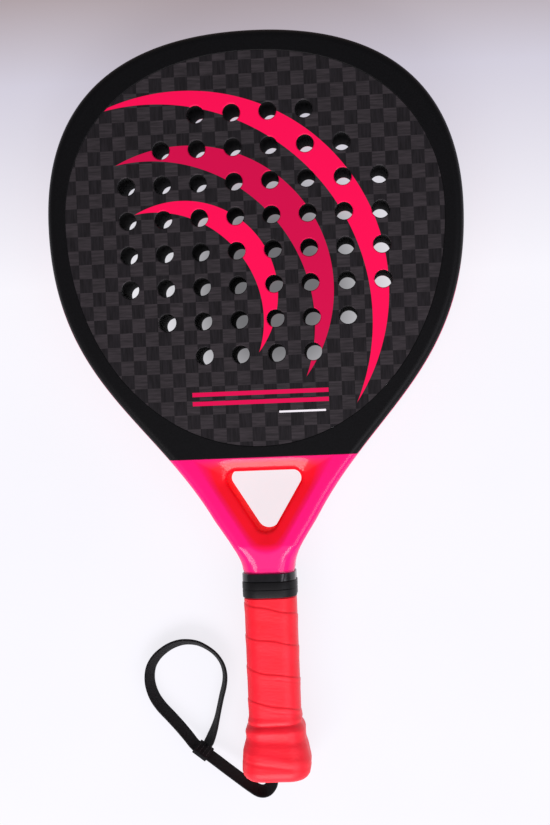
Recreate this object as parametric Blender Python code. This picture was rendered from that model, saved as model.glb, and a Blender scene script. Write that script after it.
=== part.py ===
"""Padel racket, lying on its rear face. The origin is under the middle of the racket,
+Y runs to the top of the head, +Z is the way the front face looks, lengths in metres."""

import bpy
import bmesh
from math import cos, pi, radians, sin
from mathutils import Vector
from mathutils.geometry import interpolate_bezier

MM = 0.001

# Driving dimensions, in millimetres
LENGTH = 455.0                # top of the head to the butt
HALF_LENGTH = LENGTH / 2
HALF_WIDTH = 125.9            # of the head, at its widest
HALF_THICK = 19.0             # of the moulding
GAP = 0.3                     # left between any two pieces that touch

TUBE_WALL = 1.8               # carbon wall of the frame tube
SHOULDER = 6.0                # radius of the frame's outer corners
SKIN = 1.2                    # carbon face
SKIN_RECESS = 0.3             # face below the frame's edge

HOLE_RADIUS = 5.35
HOLE_PITCH = (21.8, 20.8)
HOLE_ROWS = (4, 6, 8, 8, 8, 8, 6, 4)     # holes in each row, from the top
HOLE_CENTRE_Y = 104.7

BRIDGE_LOW_Y = -38.6          # upper edge of the throat's opening
OPENING_CORNER = 5.0
TIP_Y = -75.4                 # lowest point of the throat's opening
TAPER_Y = -84.0               # the moulding thins from here down to the neck
NECK_Y = -98.2
NECK_DROP = 3.2               # how much of the half thickness is gone at the neck
LEG_TOP_Y = -101.5            # the moulding is at handle size below this
LEG_END_Y = -208.0
LEG = (11.4, 11.4)            # half width and half height of both legs side by side
LEG_INNER = 1.8

SLEEVE_WALL = 1.0
BASE_GRIP_WALL = 1.3
OVERGRIP_WALL = 1.2
GRIP_TOP_Y = -103.3
TAPE_Y = (-100.9, -105.9)
COLLAR_Y = (-106.2, -115.6)

STRAP_WIDTH = 9.5
STRAP_THICK = 1.4
KEEPER_LENGTH = 10.0
KEEPER_TRAVEL = 16.0

# The right half of the moulding, from the top of the head down to the handle, as Bezier
# stretches: the outer side of the frame tube, and its inner side at the same places.
OUTER_RAIL = (
    ((0, HALF_LENGTH), (85.4, HALF_LENGTH), (HALF_WIDTH, 186.2), (HALF_WIDTH, 116)),
    ((HALF_WIDTH, 116), (HALF_WIDTH, 68.1), (111.5, 38.3), (92.6, 12.6)),
    ((92.6, 12.6), (73.7, -13), (50.3, -34.6), (32.3, -66)),
    ((32.3, -66), (26.4, -76.3), (16.3, -88), (15.9, NECK_Y)),
    ((15.9, NECK_Y), (15.9, -100.2), (LEG[0], -99.8), (LEG[0], LEG_TOP_Y)),
    ((LEG[0], LEG_TOP_Y), (LEG[0], -135), (LEG[0], -170), (LEG[0], LEG_END_Y)),
)
INNER_RAIL = (
    ((0, 214), (84, 214), (114.3, 160), (114.3, 116)),
    ((114.3, 116), (114.3, 74.9), (101, 39.8), (80, 15.1)),
    ((80, 15.1), (57.3, -11.6), (26.4, -38.4), (10.8, -64)),
    ((10.8, -64), (5.2, -73.2), (LEG_INNER, -73.2), (LEG_INNER, -79)),
    ((LEG_INNER, -79), (LEG_INNER, -90), (LEG_INNER, -95), (LEG_INNER, LEG_TOP_Y)),
    ((LEG_INNER, LEG_TOP_Y), (LEG_INNER, -135), (LEG_INNER, -170), (LEG_INNER, LEG_END_Y)),
)
RAIL_STEPS = (12, 7, 12, 6, 3, 2)
FACE_LOWER_ARC = ((80, 15.1), (59, -9.6), (30.5, -23.7), (0, -23.7))

# Half width and half depth of the overgrip down the handle, by height along Y
GRIP_PROFILE = (
    (GRIP_TOP_Y, 15.2, 15.2),
    (-115.9, 15.2, 15.2),
    (-116.2, 15.8, 15.8),
    (-186, 15.8, 15.8),
    (-194, 17.2, 16.6),
    (-205, 19.1, 17.6),
    (-216, 20.9, 18.4),
    (-221, 20.9, 18.4),
)
CAP_TOP_Y = -194.0
CAP_END_Y = -225.9
CAP_PLATE = 2.5
PIN_Y = -212.6                # of the steel pin that holds the strap
PIN_RADIUS = 2.0
GRIP_CORNER_CENTRE = 5.4      # depth of the corner arcs' centres, the same in every layer

# The wrist strap's route: x, y, z of its middle line, and its lean from flat in degrees.
# It leaves the butt, runs through the keeper and round the loop, and comes back to it.
STRAP_ROUTE = (
    (-3.4, -215.2, 19.0, -30),
    (-3.4, -221.0, 19.0, -32),
    (-3.6, -227.0, 18.7, -35),
    (-4.2, -232.0, 17.6, -42),
    (-7.2, -236.2, 15.8, -50),
    (-11.8, -237.2, 13.9, -56),
    (-17.5, -234.6, 12.0, -60),
    (-24.8, -229.8, 10.2, -62),
    (-32.2, -224.3, 9.4, -62),
    (-39.6, -218.7, 8.5, -62),
    (-47.0, -213.2, 7.7, -62),
    (-51.9, -209.6, 7.1, -62),
    (-56.3, -204.3, 6.1, -61),
    (-61.4, -198.2, 5.3, -60),
    (-67.0, -192.0, 4.7, -60),
    (-73.0, -185.2, 4.7, -60),
    (-77.3, -178.0, 4.7, -61),
    (-79.4, -169.5, 4.7, -62),
    (-78.4, -161.0, 4.8, -66),
    (-74.2, -154.2, 4.9, -72),
    (-67.6, -149.0, 5.0, -80),
    (-61.2, -146.3, 5.0, -88),
    (-55.3, -145.5, 5.0, -91),
)
RETURN_ROUTE = (
    (-54.9, -145.5, 5.0, -91),
    (-48.4, -146.5, 5.0, -90),
    (-42.2, -149.6, 5.0, -88),
    (-37.0, -153.9, 5.0, -85),
    (-33.3, -159.6, 5.0, -83),
    (-31.8, -166.0, 5.0, -82),
    (-32.3, -172.6, 5.0, -82),
    (-34.3, -180.0, 5.0, -82),
    (-36.2, -187.6, 5.0, -82),
    (-37.9, -194.4, 4.9, -76),
    (-39.9, -200.6, 4.8, -64),
    (-42.6, -207.0, 4.6, -54),
)
KEEPER_STOP = 10              # the keeper's place in the strap's route
KEEPER_AXIS = Vector((22.2, -16.6, 2.5)).normalized()
KEEPER_CLEAR = 0.5


def clear_scene():
    for leftover in list(bpy.data.objects):
        bpy.data.objects.remove(leftover, do_unlink=True)


def material(name, colour, roughness, metallic=0.0):
    made = bpy.data.materials.new(name)
    made.use_nodes = True
    shader = made.node_tree.nodes["Principled BSDF"]
    shader.inputs["Base Color"].default_value = (*colour, 1.0)
    shader.inputs["Roughness"].default_value = roughness
    shader.inputs["Metallic"].default_value = metallic
    return made


def finish_object(name, bm, finish, smooth_angle=40):
    """Turn a bmesh drawn in millimetres into a named object with outward faces."""
    bmesh.ops.scale(bm, vec=(MM, MM, MM), verts=bm.verts)
    bmesh.ops.recalc_face_normals(bm, faces=bm.faces)
    mesh = bpy.data.meshes.new(name)
    bm.to_mesh(mesh)
    bm.free()
    mesh.materials.append(finish)
    mesh.shade_smooth()
    mesh.set_sharp_from_angle(angle=radians(smooth_angle))
    made = bpy.data.objects.new(name, mesh)
    bpy.context.collection.objects.link(made)
    return made


def ring_solid(name, rings, finish):
    """A hollow body from closed rings of points. The last ring joins the first one."""
    bm = bmesh.new()
    drawn = [[bm.verts.new(point) for point in ring] for ring in rings]
    for here, following in zip(drawn, drawn[1:] + drawn[:1]):
        for i in range(len(here)):
            j = (i + 1) % len(here)
            bm.faces.new((here[i], here[j], following[j], following[i]))
    return finish_object(name, bm, finish)


def capped_loft(name, rings, finish):
    """A solid body from closed rings of points, with a flat cap at both ends."""
    bm = bmesh.new()
    drawn = [[bm.verts.new(point) for point in ring] for ring in rings]
    for here, following in zip(drawn, drawn[1:]):
        for i in range(len(here)):
            j = (i + 1) % len(here)
            bm.faces.new((here[i], here[j], following[j], following[i]))
    bm.faces.new(drawn[0])
    bm.faces.new(reversed(drawn[-1]))
    return finish_object(name, bm, finish)


def plate(name, outline, low, high, finish):
    """A flat plate between two heights, inside an outline in the XY plane."""
    rings = [[(x, y, z) for x, y in outline] for z in (low, high)]
    return capped_loft(name, rings, finish)


def bezier(stretch, steps):
    corners = [Vector((*corner, 0)) for corner in stretch]
    points = interpolate_bezier(*corners, steps + 1)
    return [(point.x, point.y) for point in points]


def rail(stretches, steps):
    """The points of a chain of Bezier stretches, without the doubles where they meet."""
    points = bezier(stretches[0], steps[0])
    for stretch, count in zip(stretches[1:], steps[1:]):
        points += bezier(stretch, count)[1:]
    return points


def smoothstep(low, high, value):
    share = min(max((value - low) / (high - low), 0), 1)
    return share * share * (3 - 2 * share)


def inset(outline, distance):
    """Move a counter-clockwise closed outline inwards by a distance."""
    moved = []
    count = len(outline)
    for i in range(count):
        before = Vector(outline[i - 1])
        here = Vector(outline[i])
        after = Vector(outline[(i + 1) % count])
        side_in = (here - before).normalized()
        side_out = (after - here).normalized()
        normal = Vector((-side_in.y - side_out.y, side_in.x + side_out.x)).normalized()
        stretch = normal.dot(Vector((-side_in.y, side_in.x)))
        moved.append(tuple(here + normal * distance / stretch))
    return moved


# ---------------------------------------------------------------- frame and throat

def throat_share(y):
    """0 on the head and the handle, 1 where the arms are hollowed towards the opening."""
    return smoothstep(-26, -46, y) * (1 - smoothstep(-80, -90, y))


def half_height(y):
    """Half the moulding's thickness, which drops to the legs' at the handle."""
    to_handle = smoothstep(TAPER_Y, NECK_Y, y)
    to_leg = smoothstep(NECK_Y, LEG_TOP_Y, y)
    return HALF_THICK - NECK_DROP * to_handle - (HALF_THICK - NECK_DROP - LEG[1]) * to_leg


def tube_section(outer, inner, wall):
    """One ring across the frame tube. wall is 0 for its outside, or how far in to go."""
    outer = Vector((*outer, 0))
    inner = Vector((*inner, 0))
    across = outer - inner
    width = across.length - 2 * wall
    across.normalize()
    start = inner + across * wall
    middle_y = (outer.y + inner.y) / 2
    high = half_height(middle_y)
    corner = min(SHOULDER, high * 0.5) - wall * 0.5
    share = throat_share(middle_y)
    flat_from = 0.8 + share * (0.45 * width - 0.8)
    lip = high - 0.8 - share * 8.2 - wall * (1 - 0.4 * share)
    high = high - wall
    cut = corner * (1 - cos(pi / 4))
    half = [
        (width, high - corner),
        (width - cut, high - cut),
        (width - corner, high),
        (flat_from, high),
        (0, lip),
    ]
    section = half + [(u, -v) for u, v in reversed(half)]
    return [start + across * u + Vector((0, 0, HALF_THICK + v)) for u, v in section]


def frame_tube(finish):
    """One hairpin of carbon tube: up one leg, round the head and down the other leg."""
    outer = rail(OUTER_RAIL, RAIL_STEPS)
    inner = rail(INNER_RAIL, RAIL_STEPS)
    left = [((-ox, oy), (-ix, iy)) for (ox, oy), (ix, iy) in zip(outer, inner)]
    pairs = list(reversed(left)) + list(zip(outer, inner))[1:]
    outside = [tube_section(o, i, 0) for o, i in pairs]
    inside = [tube_section(o, i, TUBE_WALL) for o, i in pairs]
    return ring_solid("frame_tube", outside + list(reversed(inside)), finish)


def face_outline(distance):
    """The outline of the faces and the core, a distance inside the frame."""
    upper = rail(INNER_RAIL[:2], RAIL_STEPS[:2])
    lower = bezier(FACE_LOWER_ARC, 12)
    right = upper + lower[1:]
    left = [(-x, y) for x, y in reversed(right[1:-1])]
    clockwise = right + left
    return inset(list(reversed(clockwise)), distance)


def throat_bridge(finish):
    """The cross piece that closes the head above the throat, as sections across it."""
    top = bezier(FACE_LOWER_ARC, 40)
    side = bezier(INNER_RAIL[2], 40)

    def height_on(points, x):
        for (x0, y0), (x1, y1) in zip(points, points[1:]):
            if x1 <= x <= x0:
                return y0 + (y1 - y0) * (x - x0) / (x1 - x0)
        return points[-1][1]

    low_end = 23.0
    stations = [0, 6, 12, 16, 18, 20, 21.6, low_end, 26, 29, 33, 38, 43, 48, 53, 57]
    rings = []
    for x in [-s for s in reversed(stations[1:])] + stations:
        size = abs(x)
        y_top = height_on(top, size) - GAP
        y_side = height_on(side, size) + 2 * GAP
        past = max(0.0, size - (low_end - OPENING_CORNER))
        y_corner = BRIDGE_LOW_Y - OPENING_CORNER + (max(OPENING_CORNER ** 2 - past ** 2, 0)) ** 0.5
        y_low = max(y_side, y_corner) if size > 16 else BRIDGE_LOW_Y
        slope = 0.45 * (1 - smoothstep(22, 40, size))
        y_break = y_low + slope * (y_top - y_low)
        lip = HALF_THICK - 0.8 - 7.5 * (1 - smoothstep(22, 40, size))
        half = [(y_top, HALF_THICK - 0.4), (y_break + 0.02, HALF_THICK - 0.4), (y_low, lip)]
        section = half + [(y, -v) for y, v in reversed(half)]
        rings.append([(x, y, HALF_THICK + v) for y, v in section])
    return capped_loft("throat_bridge", rings, finish)


def handle_filler(finish):
    """Foam between the two legs, up to the crotch below the opening."""
    half_width = LEG_INNER - GAP
    half = [(LEG_END_Y, LEG[1] - 0.8), (LEG_TOP_Y, LEG[1] - 0.8), (NECK_Y, 14.8), (-90, 17.4),
            (TAPER_Y, 14.5), (TIP_Y - 1, 10.4)]
    outline = half + [(y, -z) for y, z in reversed(half)]
    rings = [[(x, y, HALF_THICK + z) for y, z in outline] for x in (-half_width, half_width)]
    return capped_loft("handle_filler", rings, finish)


# ---------------------------------------------------------------- faces and core

def hole_centres():
    for row, count in enumerate(HOLE_ROWS):
        y = HOLE_CENTRE_Y + (len(HOLE_ROWS) / 2 - 0.5 - row) * HOLE_PITCH[1]
        for column in range(count):
            yield ((column - (count - 1) / 2) * HOLE_PITCH[0], y)


def hole_cutter(name, sides, finish):
    """All the drill holes as one guide object that cuts and isn't part of the racket."""
    bm = bmesh.new()
    for x, y in hole_centres():
        drilled = bmesh.ops.create_cone(bm, cap_ends=True, segments=sides, radius1=HOLE_RADIUS,
                                        radius2=HOLE_RADIUS, depth=4 * HALF_THICK)
        bmesh.ops.translate(bm, vec=(x, y, HALF_THICK), verts=drilled["verts"])
    cutter = finish_object(name, bm, finish)
    cutter.hide_render = True
    cutter.display_type = "WIRE"
    return cutter


def drill(piece, cutter):
    cut = piece.modifiers.new("holes", "BOOLEAN")
    cut.operation = "DIFFERENCE"
    cut.solver = "EXACT"
    cut.object = cutter


def faces_and_core(carbon, foam):
    drill_bits = hole_cutter("drill_bits", 10, foam)
    core_bits = hole_cutter("core_drill_bits", 8, foam)
    face = face_outline(GAP)
    top = 2 * HALF_THICK - SKIN_RECESS
    core = plate("foam_core", face, SKIN_RECESS + SKIN + GAP, top - SKIN - GAP, foam)
    drill(core, core_bits)
    front = plate("front_face_skin", face, top - SKIN, top, carbon)
    drill(front, drill_bits)
    rear = plate("rear_face_skin", face, SKIN_RECESS, SKIN_RECESS + SKIN, carbon)
    drill(rear, drill_bits)


# ---------------------------------------------------------------- handle

def handle_ring(y, half_x, half_z, corner_steps=4):
    """A rounded rectangle round the handle's axis."""
    radius = half_z - GRIP_CORNER_CENTRE
    radius = min(radius, half_x - 0.5)
    points = []
    for quarter in range(4):
        centre_x = (half_x - radius) * (1 if quarter in (0, 3) else -1)
        centre_z = (half_z - radius) * (1 if quarter in (0, 1) else -1)
        for step in range(corner_steps + 1):
            angle = (quarter + step / corner_steps) * pi / 2
            points.append((centre_x + radius * cos(angle), y,
                           HALF_THICK + centre_z + radius * sin(angle)))
    return points


def slot_ring(y, half_x, half_z, corner_steps=4):
    """A round-ended slot with as many points as a handle ring."""
    points = []
    for quarter in range(4):
        centre_x = (half_x - half_z) * (1 if quarter in (0, 3) else -1)
        centre_z = 0.05 * (1 if quarter in (0, 1) else -1)
        for step in range(corner_steps + 1):
            angle = (quarter + step / corner_steps) * pi / 2
            points.append((centre_x + half_z * cos(angle), y,
                           HALF_THICK + centre_z + half_z * sin(angle)))
    return points


def layer(profile, depth):
    """The rings of a handle layer's surface, a depth under the overgrip's own."""
    return [handle_ring(y, half_x - depth, half_z - depth) for y, half_x, half_z in profile]


def handle_layers(laminate, foam_tape, wrap, cap_rubber):
    sleeve_out = LEG[0] + GAP + SLEEVE_WALL
    sleeve_in = LEG[0] + GAP
    sleeve_ends = (GRIP_TOP_Y - GAP, CAP_END_Y + CAP_PLATE + GAP)
    outside = [handle_ring(y, sleeve_out, sleeve_out) for y in sleeve_ends]
    inside = [handle_ring(y, sleeve_in, sleeve_in) for y in reversed(sleeve_ends)]
    ring_solid("handle_sleeve", outside + inside, laminate)

    rim_y = -HALF_LENGTH
    rim = [handle_ring(-225, 19.0, 16.5), handle_ring(rim_y, 15.5, 13.0), handle_ring(rim_y, 12.5, 10.0)]
    rim_inside = [handle_ring(CAP_END_Y - GAP, 12.6, 10.1), handle_ring(CAP_END_Y - GAP, 15.0, 12.5),
                  handle_ring(-224.4, 17.7, 15.1)]
    outside = layer(GRIP_PROFILE, 0)
    inside = layer(reversed(GRIP_PROFILE), OVERGRIP_WALL)
    ring_solid("overgrip", outside + rim + rim_inside + inside, wrap)

    under = OVERGRIP_WALL + GAP
    foam_profile = ((GRIP_TOP_Y - GAP, 15.2, 15.2), *GRIP_PROFILE[1:])
    outside = layer(foam_profile, under)
    bore = sleeve_out + GAP
    cap_gap = under + BASE_GRIP_WALL
    inside = layer([p for p in reversed(GRIP_PROFILE) if p[0] <= CAP_TOP_Y], cap_gap)
    inside += [handle_ring(y, bore, bore) for y in (-188, foam_profile[0][0])]
    ring_solid("base_grip", outside + inside, foam_tape)

    cap_depth = cap_gap + GAP
    outside = layer([p for p in GRIP_PROFILE if p[0] <= CAP_TOP_Y], cap_depth)
    end = [handle_ring(CAP_END_Y, 14.5, 12.4), slot_ring(CAP_END_Y, 9.5, 5.0)]
    plate_inside = CAP_END_Y + CAP_PLATE
    inside = [slot_ring(plate_inside, 9.5, 5.0), handle_ring(plate_inside, bore, bore),
              handle_ring(CAP_TOP_Y, bore, bore)]
    ring_solid("butt_cap", outside + end + inside, cap_rubber)


def band(name, ends, half_in, half_out, bulge, finish):
    """A tape or rubber ring round the handle, a little fuller at its middle."""
    high, low = ends
    edge = min(0.6, (high - low) / 5)
    outside = [handle_ring(high, half_out - bulge, half_out - bulge),
               handle_ring(high - edge, half_out, half_out),
               handle_ring(low + edge, half_out, half_out),
               handle_ring(low, half_out - bulge, half_out - bulge)]
    inside = [handle_ring(low, half_in, half_in), handle_ring(high, half_in, half_in)]
    return ring_solid(name, outside + inside, finish)


# ---------------------------------------------------------------- wrist strap

def through(route, steps):
    """Points and leans along a Catmull-Rom curve through a route."""
    rows = [Vector(row) for row in route]
    rows = [2 * rows[0] - rows[1]] + rows + [2 * rows[-1] - rows[-2]]
    found = []
    for i in range(1, len(rows) - 2):
        a, b, c, d = rows[i - 1:i + 3]
        for step in range(steps):
            t = step / steps
            found.append(0.5 * (2 * b + (c - a) * t + (2 * a - 5 * b + 4 * c - d) * t ** 2
                                + (3 * b - a - 3 * c + d) * t ** 3))
    return found + [rows[-2]]


def webbing_axes(heading, lean):
    """The directions across a strap's width and through its thickness."""
    sideways = heading.cross(Vector((0, 0, 1))).normalized()
    upward = sideways.cross(heading).normalized()
    angle = radians(lean)
    across = sideways * cos(angle) + upward * sin(angle)
    return across, heading.cross(across)


def webbing(name, route, finish, steps=3):
    rows = through(route, steps)
    points = [row.xyz for row in rows]
    rings = []
    for i, row in enumerate(rows):
        heading = (points[min(i + 1, len(points) - 1)] - points[max(i - 1, 0)]).normalized()
        across, normal = webbing_axes(heading, row.w)
        corners = ((1, 1), (-1, 1), (-1, -1), (1, -1))
        rings.append([row.xyz + across * u * STRAP_WIDTH / 2 + normal * v * STRAP_THICK / 2
                      for u, v in corners])
    return capped_loft(name, rings, finish)


def strap_keeper(finish):
    """The end of the strap, sewn round its own standing part as a sliding loop."""
    heading = -KEEPER_AXIS
    *place, lean = STRAP_ROUTE[KEEPER_STOP]
    across, normal = webbing_axes(heading, lean)
    inner = (STRAP_WIDTH / 2 + KEEPER_CLEAR, STRAP_THICK / 2 + KEEPER_CLEAR)
    outer = (inner[0] + STRAP_THICK, inner[1] + STRAP_THICK)

    def ring(size, along):
        centre = heading * along
        corners = ((1, 1), (-1, 1), (-1, -1), (1, -1))
        return [centre + across * u * size[0] + normal * v * size[1] for u, v in corners]

    half = KEEPER_LENGTH / 2
    rings = [ring(outer, -half), ring(outer, half), ring(inner, half), ring(inner, -half)]
    made = ring_solid("strap_keeper", rings, finish)
    slide = bpy.data.objects.new("keeper_slide_axis", None)
    slide.location = Vector(place) * MM
    slide.empty_display_size = KEEPER_TRAVEL * MM
    bpy.context.collection.objects.link(slide)
    made.parent = slide
    return made


def strap_anchor(finish):
    """A steel pin across the hollow end of the handle, which the strap is sewn round."""
    bm = bmesh.new()
    pin = bmesh.ops.create_cone(bm, cap_ends=True, segments=16, radius1=PIN_RADIUS,
                                radius2=PIN_RADIUS, depth=2 * LEG[0])
    bmesh.ops.rotate(bm, verts=pin["verts"], matrix=Vector((0, 0, 1)).rotation_difference(
        Vector((1, 0, 0))).to_matrix())
    bmesh.ops.translate(bm, vec=(0, PIN_Y, HALF_THICK), verts=pin["verts"])
    return finish_object("strap_anchor", bm, finish)


def build():
    clear_scene()
    paint = material("frame_paint", (0.012, 0.012, 0.014), 0.4)
    pink = material("throat_paint", (0.95, 0.0, 0.17), 0.25)
    carbon = material("face_carbon", (0.03, 0.027, 0.03), 0.35)
    foam = material("eva_foam", (0.02, 0.02, 0.022), 0.85)
    laminate = material("handle_laminate", (0.03, 0.03, 0.032), 0.5)
    filler = material("handle_foam", (0.7, 0.66, 0.55), 0.9)
    foam_tape = material("base_grip", (0.02, 0.02, 0.02), 0.8)
    wrap = material("overgrip", (0.9, 0.06, 0.08), 0.6)
    tape = material("finishing_tape", (0.015, 0.015, 0.016), 0.3)
    rubber = material("collar_rubber", (0.02, 0.02, 0.022), 0.55)
    cap_rubber = material("cap_plastic", (0.025, 0.025, 0.027), 0.5)
    steel = material("pin_steel", (0.6, 0.6, 0.6), 0.3, 1.0)
    strap = material("strap_webbing", (0.01, 0.01, 0.011), 0.8)

    frame_tube(paint)
    throat_bridge(pink)
    faces_and_core(carbon, foam)
    handle_filler(filler)
    handle_layers(laminate, foam_tape, wrap, cap_rubber)
    tape_inside = GRIP_PROFILE[0][1] + GAP
    band("finishing_tape", TAPE_Y, tape_inside, tape_inside + 0.6, 0.1, tape)
    band("rubber_collar", COLLAR_Y, tape_inside, tape_inside + 1.1, 0.3, rubber)
    strap_anchor(steel)
    webbing("wrist_strap", STRAP_ROUTE, strap)
    webbing("wrist_strap_return", RETURN_ROUTE, strap)
    strap_keeper(strap)


build()
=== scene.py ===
from math import atan2, cos, exp, floor, hypot, pi, radians, sin, sqrt

import bmesh
import bpy
from mathutils import Matrix, Vector
from mathutils.geometry import interpolate_bezier


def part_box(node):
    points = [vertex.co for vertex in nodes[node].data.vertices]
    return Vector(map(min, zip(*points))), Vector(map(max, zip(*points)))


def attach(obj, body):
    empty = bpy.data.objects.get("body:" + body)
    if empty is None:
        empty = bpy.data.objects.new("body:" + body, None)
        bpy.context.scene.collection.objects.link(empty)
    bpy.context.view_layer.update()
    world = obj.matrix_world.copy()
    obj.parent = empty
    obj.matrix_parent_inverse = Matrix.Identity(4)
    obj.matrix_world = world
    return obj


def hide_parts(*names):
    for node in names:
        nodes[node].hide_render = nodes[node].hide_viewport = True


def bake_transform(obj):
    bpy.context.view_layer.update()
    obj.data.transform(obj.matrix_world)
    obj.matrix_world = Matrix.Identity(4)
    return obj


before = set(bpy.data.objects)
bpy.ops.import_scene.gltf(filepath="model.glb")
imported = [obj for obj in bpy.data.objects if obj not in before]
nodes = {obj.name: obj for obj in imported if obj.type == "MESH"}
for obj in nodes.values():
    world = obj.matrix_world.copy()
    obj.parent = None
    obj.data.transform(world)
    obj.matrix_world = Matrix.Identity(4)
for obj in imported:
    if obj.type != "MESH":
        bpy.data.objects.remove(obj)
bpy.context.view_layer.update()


# ---- EVA foam core -----------------------------------------------------------------------
# A slab of black EVA foam pressed between the two carbon faces and drilled through with
# them. Only the walls of the holes show: matte, with pores cut open by the drill.

MM = 0.001
HOLE_RADIUS = 5.35
HOLE_PITCH_X = 21.8
HOLE_PITCH_Y = 20.8
HOLE_ROWS = (4, 6, 8, 8, 8, 8, 6, 4)
HOLE_SIDES = 48
HOLE_GRID_Y = 104.7
SHOULDER_Y = 116
SPLIT = (80, 15.1)
# The face's right half as curves through the head, the cheek and the throat's side.
FACE_OUTLINE = (((0, 214.0), (84, 214.0), (114.3, 160), (114.3, SHOULDER_Y)),
                ((114.3, SHOULDER_Y), (114.3, 74.9), (101, 39.8), SPLIT),
                (SPLIT, (59, -9.6), (30.5, -23.7), (0, -23.7)))

core_low, core_high = [corner.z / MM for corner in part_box("foam_core")]


def linear(colour):
    """An sRGB hex colour as the linear values that a socket takes."""
    parts = [int(colour[i:i + 2], 16) / 255 for i in (1, 3, 5)]
    return (*[p / 12.92 if p <= 0.04045 else ((p + 0.055) / 1.055) ** 2.4 for p in parts], 1.0)


def new_material(name):
    made = bpy.data.materials.new(name)
    made.use_nodes = True
    return made


def add(material, kind, values=None, links=None, stops=(), **settings):
    """Add a node with its settings, its sockets' values and links, and a ramp's stops."""
    made = material.node_tree.nodes.new("ShaderNode" + kind)
    for name, value in settings.items():
        setattr(made, name, value)
    for socket, value in (values or {}).items():
        made.inputs[socket].default_value = value
    for socket, (source, output) in (links or {}).items():
        material.node_tree.links.new(source.outputs[output], made.inputs[socket])
    for extra in stops[2:]:
        made.color_ramp.elements.new(0.5)
    for i, (place, colour) in enumerate(stops):
        made.color_ramp.elements[i].position = place
        made.color_ramp.elements[i].color = linear(colour)
    return made


def shade(material, values, links):
    """Set and link the sockets of the material's own shader."""
    shader = material.node_tree.nodes["Principled BSDF"]
    for socket, value in values.items():
        shader.inputs[socket].default_value = value
    for socket, (source, output) in links.items():
        material.node_tree.links.new(source.outputs[output], shader.inputs[socket])


def patterned(name, kind, values, output, stops, relief, gloss):
    """A finish whose one pattern gives both its colours and its relief, given as the
    strength and the depth in millimetres."""
    made = new_material(name)
    place = add(made, "TexCoord")
    pattern = add(made, kind, values, {"Vector": (place, "Object")})
    colour = add(made, "ValToRGB", links={"Fac": (pattern, output)}, stops=stops)
    bump = add(made, "Bump", {"Strength": relief[0], "Distance": relief[1] * MM},
               {"Height": (pattern, output)})
    shade(made, gloss, {"Base Color": (colour, "Color"), "Normal": (bump, "Normal")})
    return made


def only(piece):
    """Make one object the active one and the only one selected."""
    bpy.ops.object.select_all(action="DESELECT")
    piece.select_set(True)
    bpy.context.view_layer.objects.active = piece


def finished(piece, name, material, angle=35):
    """Name a piece, put its place into its mesh, and give it its smoothing and material."""
    only(piece)
    bpy.ops.object.transform_apply(location=True, rotation=True, scale=True)
    bpy.ops.object.shade_smooth_by_angle(angle=radians(angle))
    piece.name = name
    piece.data.name = name
    piece.data.materials.clear()
    piece.data.materials.append(material)
    return piece


def flipped(place):
    return -place[0], place[1]


def face_blank(low, high):
    """A blank with the outline of the frame's inside, between two heights."""
    head, cheek, low_arc = FACE_OUTLINE
    right = [(cheek[0], head[2], cheek[1]), (low_arc[0], cheek[2], low_arc[1])]
    top = head[0], flipped(head[1]), head[1]
    bottom = low_arc[3], low_arc[2], flipped(low_arc[2])
    left = [(flipped(place), flipped(after), flipped(before)) for place, before, after in right]
    knots = [top, *right, bottom, *reversed(left)]
    bpy.ops.curve.primitive_bezier_circle_add(location=(0, 0, (low + high) / 2 * MM))
    blank = bpy.context.object
    blank.data.dimensions = "2D"
    blank.data.fill_mode = "BOTH"
    blank.data.resolution_u = 24
    blank.data.extrude = (high - low) / 2 * MM
    points = blank.data.splines[0].bezier_points
    points.add(len(knots) - len(points))
    for point, (place, before, after) in zip(points, knots):
        point.handle_left_type = point.handle_right_type = "FREE"
        point.co = (place[0] * MM, place[1] * MM, 0)
        point.handle_left = (before[0] * MM, before[1] * MM, 0)
        point.handle_right = (after[0] * MM, after[1] * MM, 0)
    only(blank)
    bpy.ops.object.convert(target="MESH")
    bpy.ops.object.transform_apply(location=True, rotation=True, scale=True)
    bpy.ops.object.mode_set(mode="EDIT")
    bpy.ops.mesh.select_all(action="SELECT")
    bpy.ops.mesh.remove_doubles(threshold=1e-6)
    bpy.ops.mesh.dissolve_limited(angle_limit=radians(0.1))
    bpy.ops.mesh.normals_make_consistent(inside=False)
    bpy.ops.object.mode_set(mode="OBJECT")
    return blank


def hole_places():
    for row, count in enumerate(HOLE_ROWS):
        y = HOLE_GRID_Y + ((len(HOLE_ROWS) - 1) / 2 - row) * HOLE_PITCH_Y
        for column in range(count):
            yield (column - (count - 1) / 2) * HOLE_PITCH_X, y


def stamped(piece, places):
    """Copies of a piece at each place, joined into one object in its stead."""
    copies = []
    for place in places:
        copied = bpy.data.objects.new(piece.name, piece.data.copy())
        copied.matrix_world = place
        bpy.context.collection.objects.link(copied)
        copies.append(copied)
    bpy.data.objects.remove(piece)
    only(copies[0])
    for copied in copies:
        copied.select_set(True)
    bpy.ops.object.join()
    return bpy.context.object


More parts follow.
